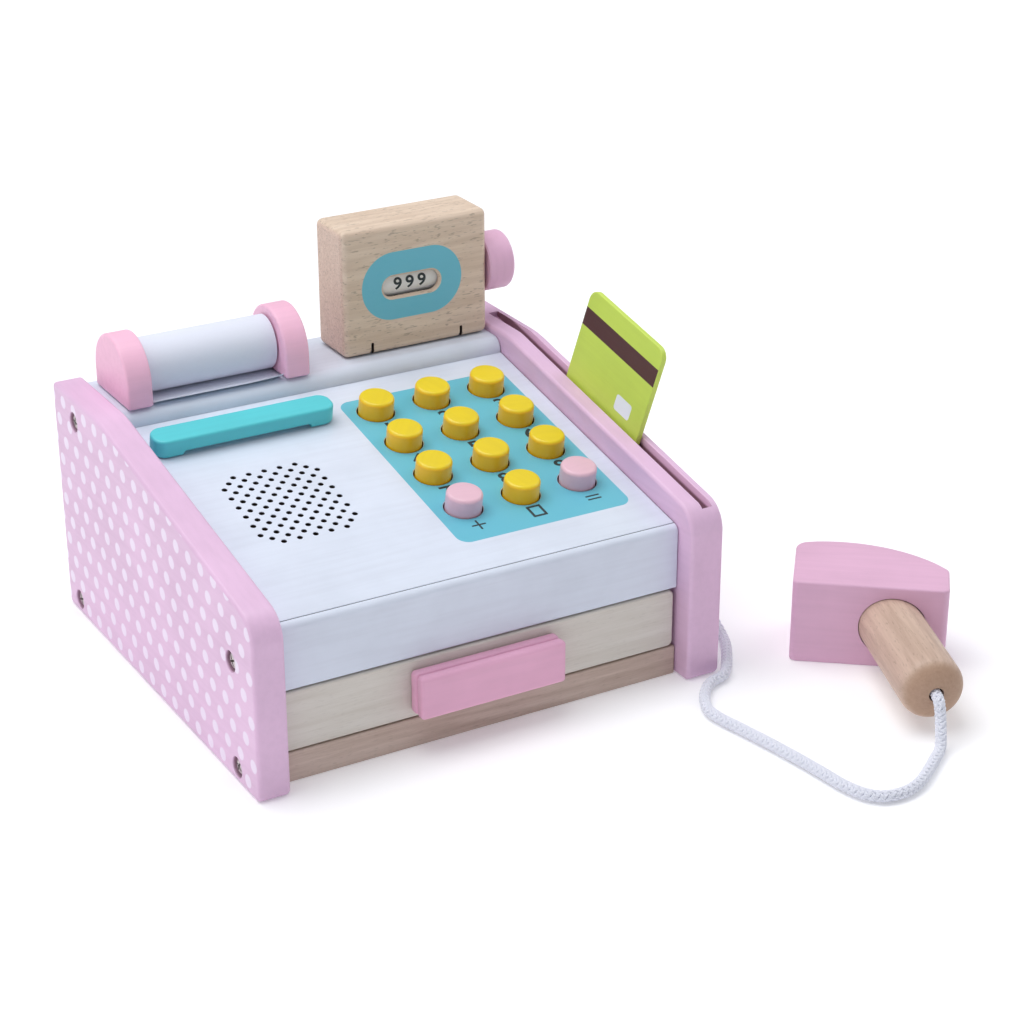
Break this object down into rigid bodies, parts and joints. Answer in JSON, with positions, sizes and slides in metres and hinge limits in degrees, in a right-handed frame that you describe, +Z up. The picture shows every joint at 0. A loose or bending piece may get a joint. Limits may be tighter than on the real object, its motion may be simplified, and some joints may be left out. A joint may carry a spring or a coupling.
{
  "type": "toy cash register",
  "caption": "Wooden toy cash register: sloping keypad of sprung round keys, sliding cash drawer, paper roll, turning number display, swipe card in its slot and a corded hand scanner.",
  "frame": {"origin": "centre of the register's own footprint (without the scanner), on its flat underside", "axes": "+Z up, -Y the front where the drawer opens, +X the side with the card slot and the scanner"},
  "size_m": [0.2906, 0.3049, 0.1521],
  "materials": {
    "pink_paint": "satin pink paint over solid beech",
    "white_paint": "satin bluish-white paint over board",
    "turquoise_paint": "satin turquoise paint over solid beech",
    "yellow_paint": "gloss yellow paint over solid beech",
    "beech": "clear-lacquered beech",
    "birch_plywood": "clear-lacquered birch plywood",
    "paper": "matt white till paper",
    "card_green": "satin yellow-green paint over thin plywood",
    "cord": "matt braided polyester",
    "steel": "nickel-plated steel"
  },
  "bodies": {
    "register": {"left_side_panel": "pink_paint", "right_side_panel": "pink_paint", "base_board": "birch_plywood", "back_panel": "white_paint", "front_panel": "white_paint", "top_panel": "white_paint", "rear_shelf": "white_paint", "receipt_bar": "turquoise_paint", "key_bed": "birch_plywood", "roll_bracket_left": "pink_paint", "roll_bracket_right": "pink_paint", "roll_axle": "beech", "paper_tail": "paper", "display_block": "beech", "screw_left_rear_top": "steel", "screw_left_rear_bottom": "steel", "screw_left_front_top": "steel", "screw_left_front_bottom": "steel", "screw_right_rear_top": "steel", "screw_right_rear_bottom": "steel", "screw_right_front_top": "steel", "screw_right_front_bottom": "steel", "key_plus_spring": "steel", "key_0_spring": "steel", "key_equals_spring": "steel", "key_7_spring": "steel", "key_8_spring": "steel", "key_9_spring": "steel", "key_4_spring": "steel", "key_5_spring": "steel", "key_6_spring": "steel", "key_1_spring": "steel", "key_2_spring": "steel", "key_3_spring": "steel", "scanner_cord": "cord"},
    "drawer": {"drawer_front": "birch_plywood", "drawer_bottom": "birch_plywood", "drawer_side_left": "birch_plywood", "drawer_side_right": "birch_plywood", "drawer_back": "birch_plywood", "drawer_handle": "pink_paint"},
    "number_display": {"number_drum": "white_paint", "drum_axle": "beech", "display_knob": "pink_paint"},
    "paper_roll": {"paper_roll": "paper"},
    "play_card": {"play_card": "card_green"},
    "hand_scanner": {"scanner_head": "pink_paint", "scanner_handle": "beech"},
    "key_plus": {"key_plus": "pink_paint"},
    "key_0": {"key_0": "yellow_paint"},
    "key_equals": {"key_equals": "pink_paint"},
    "key_7": {"key_7": "yellow_paint"},
    "key_8": {"key_8": "yellow_paint"},
    "key_9": {"key_9": "yellow_paint"},
    "key_4": {"key_4": "yellow_paint"},
    "key_5": {"key_5": "yellow_paint"},
    "key_6": {"key_6": "yellow_paint"},
    "key_1": {"key_1": "yellow_paint"},
    "key_2": {"key_2": "yellow_paint"},
    "key_3": {"key_3": "yellow_paint"}
  },
  "joints": [
    {"name": "card_swipe", "type": "slide", "parent": "register", "child": "play_card", "axis": [0, 0.9821, 0.1884], "range_m": [-0.04, 0.045]},
    {"name": "display_drum_turn", "type": "hinge", "parent": "register", "child": "number_display", "pos_m": [0.04985, 0.0728, 0.125], "axis": [1, 0, 0], "continuous": true},
    {"name": "drawer_slide", "type": "slide", "parent": "register", "child": "drawer", "axis": [0, -1, 0], "range_m": [0, 0.11]},
    {"name": "handheld_scanner_lift", "type": "slide", "parent": "register", "child": "hand_scanner", "axis": [0, 0, 1], "range_m": [0, 0.1], "deforming": ["scanner_cord"]},
    {"name": "paper_roll_spin", "type": "hinge", "parent": "register", "child": "paper_roll", "pos_m": [-0.04365, 0.0715, 0.1086], "axis": [1, 0, 0], "continuous": true},
    {"name": "press_key_plus", "type": "slide", "parent": "register", "child": "key_plus", "axis": [0, 0.1884, -0.9821], "range_m": [0, 0.003], "stiffness_N_per_m": 120, "deforming": ["key_plus_spring"]},
    {"name": "press_key_0", "type": "slide", "parent": "register", "child": "key_0", "axis": [0, 0.1884, -0.9821], "range_m": [0, 0.003], "stiffness_N_per_m": 120, "deforming": ["key_0_spring"]},
    {"name": "press_key_equals", "type": "slide", "parent": "register", "child": "key_equals", "axis": [0, 0.1884, -0.9821], "range_m": [0, 0.003], "stiffness_N_per_m": 120, "deforming": ["key_equals_spring"]},
    {"name": "press_key_7", "type": "slide", "parent": "register", "child": "key_7", "axis": [0, 0.1884, -0.9821], "range_m": [0, 0.003], "stiffness_N_per_m": 120, "deforming": ["key_7_spring"]},
    {"name": "press_key_8", "type": "slide", "parent": "register", "child": "key_8", "axis": [0, 0.1884, -0.9821], "range_m": [0, 0.003], "stiffness_N_per_m": 120, "deforming": ["key_8_spring"]},
    {"name": "press_key_9", "type": "slide", "parent": "register", "child": "key_9", "axis": [0, 0.1884, -0.9821], "range_m": [0, 0.003], "stiffness_N_per_m": 120, "deforming": ["key_9_spring"]},
    {"name": "press_key_4", "type": "slide", "parent": "register", "child": "key_4", "axis": [0, 0.1884, -0.9821], "range_m": [0, 0.003], "stiffness_N_per_m": 120, "deforming": ["key_4_spring"]},
    {"name": "press_key_5", "type": "slide", "parent": "register", "child": "key_5", "axis": [0, 0.1884, -0.9821], "range_m": [0, 0.003], "stiffness_N_per_m": 120, "deforming": ["key_5_spring"]},
    {"name": "press_key_6", "type": "slide", "parent": "register", "child": "key_6", "axis": [0, 0.1884, -0.9821], "range_m": [0, 0.003], "stiffness_N_per_m": 120, "deforming": ["key_6_spring"]},
    {"name": "press_key_1", "type": "slide", "parent": "register", "child": "key_1", "axis": [0, 0.1884, -0.9821], "range_m": [0, 0.003], "stiffness_N_per_m": 120, "deforming": ["key_1_spring"]},
    {"name": "press_key_2", "type": "slide", "parent": "register", "child": "key_2", "axis": [0, 0.1884, -0.9821], "range_m": [0, 0.003], "stiffness_N_per_m": 120, "deforming": ["key_2_spring"]},
    {"name": "press_key_3", "type": "slide", "parent": "register", "child": "key_3", "axis": [0, 0.1884, -0.9821], "range_m": [0, 0.003], "stiffness_N_per_m": 120, "deforming": ["key_3_spring"]}
  ]
}
